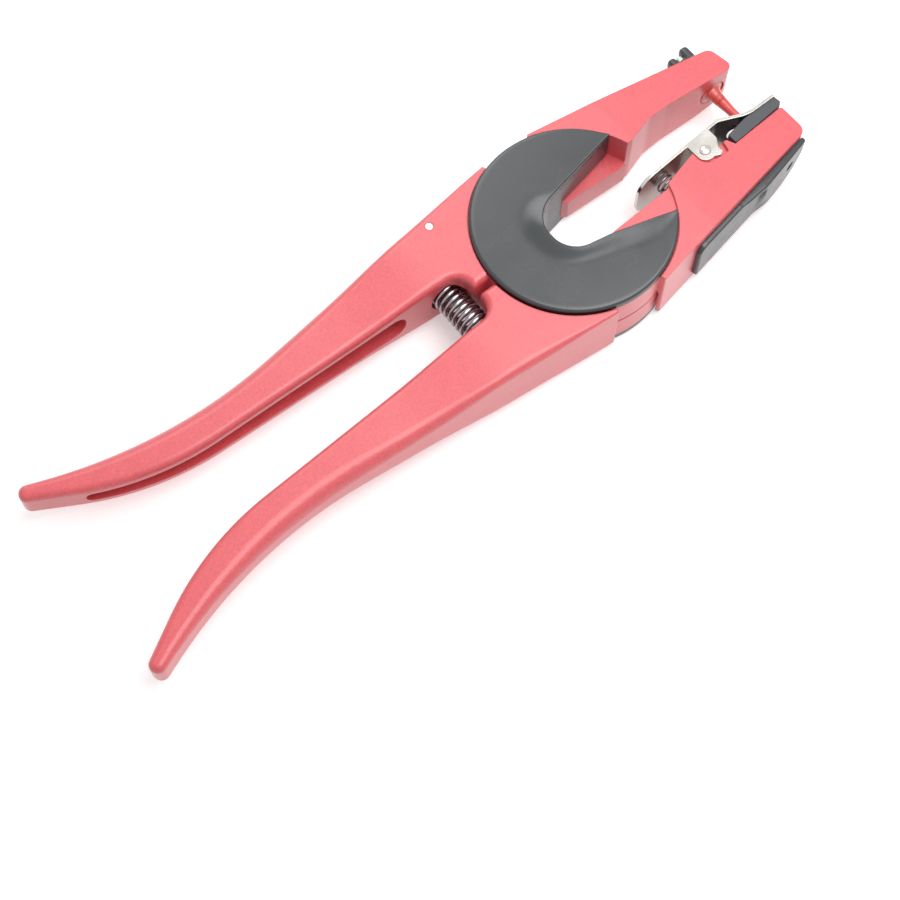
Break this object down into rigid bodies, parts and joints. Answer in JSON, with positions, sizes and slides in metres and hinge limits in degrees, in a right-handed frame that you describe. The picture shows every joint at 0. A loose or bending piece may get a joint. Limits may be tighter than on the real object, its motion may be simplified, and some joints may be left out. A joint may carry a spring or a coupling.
{
  "type": "ear tag applicator",
  "caption": "Plier-type applicator for two-piece livestock ear tags: open C hub, pin jaw with winged lock, sprung clip on the tag jaw, return spring between bowed handles.",
  "frame": {"origin": "on the pivot axis of the two levers, halfway through the hub's thickness", "axes": "+X from the handles to the jaws, +Y towards the jaw with the pin, +Z along the pivot axis, up through the top cover"},
  "size_m": [0.2448, 0.0666, 0.023],
  "materials": {
    "red_powder_coat": "fine-grained satin powder coat on cast aluminium",
    "red_pin": "smooth red coating on a steel pin",
    "black_nylon": "satin moulded nylon",
    "black_acetal": "smooth acetal",
    "nickel_plate": "bright nickel plate on stamped steel",
    "spring_steel": "zinc-plated spring wire",
    "bright_steel": "ground steel",
    "grey_steel": "plain grey steel",
    "black_pad": "hard black pad"
  },
  "bodies": {
    "tag_lever": {"tag_lever": "red_powder_coat", "top_cover": "black_nylon", "bottom_cover": "black_nylon", "hub_sleeve": "black_nylon", "thrust_washer": "black_acetal", "cover_pegs": "black_nylon", "sleeve_pegs": "bright_steel", "handle_pin": "bright_steel", "return_spring": "spring_steel", "clip_pin": "nickel_plate", "clip_spring": "spring_steel"},
    "pin_lever": {"pin_lever": "red_powder_coat", "applicator_pin": "red_pin", "pin_bush": "bright_steel", "knob_washer": "bright_steel", "spare_pin": "grey_steel", "spare_pin_screw": "nickel_plate"},
    "clip": {"clip_lever": "nickel_plate", "clip_pad": "black_pad", "pad_rivets": "nickel_plate"},
    "lock_knob": {"lock_knob": "black_acetal", "knob_spindle": "bright_steel"},
    "insert": {"jaw_insert": "black_nylon"}
  },
  "joints": [
    {"name": "handle", "type": "hinge", "parent": "tag_lever", "child": "pin_lever", "pos_m": [0, 0, 0], "axis": [0, 0, 1], "range_deg": [-3, 20], "stiffness_Nm_per_rad": 2.5, "springref_deg": 31.51, "deforming": ["return_spring"]},
    {"name": "clip", "type": "hinge", "parent": "tag_lever", "child": "clip", "pos_m": [0.0455, -0.00585, 0], "axis": [0, 0, 1], "range_deg": [0, 5.5], "stiffness_Nm_per_rad": 0.3, "springref_deg": -17.19, "deforming": ["clip_spring"]},
    {"name": "lock", "type": "hinge", "parent": "pin_lever", "child": "lock_knob", "pos_m": [0.0653, 0.024, 0], "axis": [0, 1, 0], "range_deg": [0, 90]},
    {"name": "insert_slide", "type": "slide", "parent": "tag_lever", "child": "insert", "axis": [0.9835, 0.181, 0], "range_m": [0, 0.055]}
  ]
}
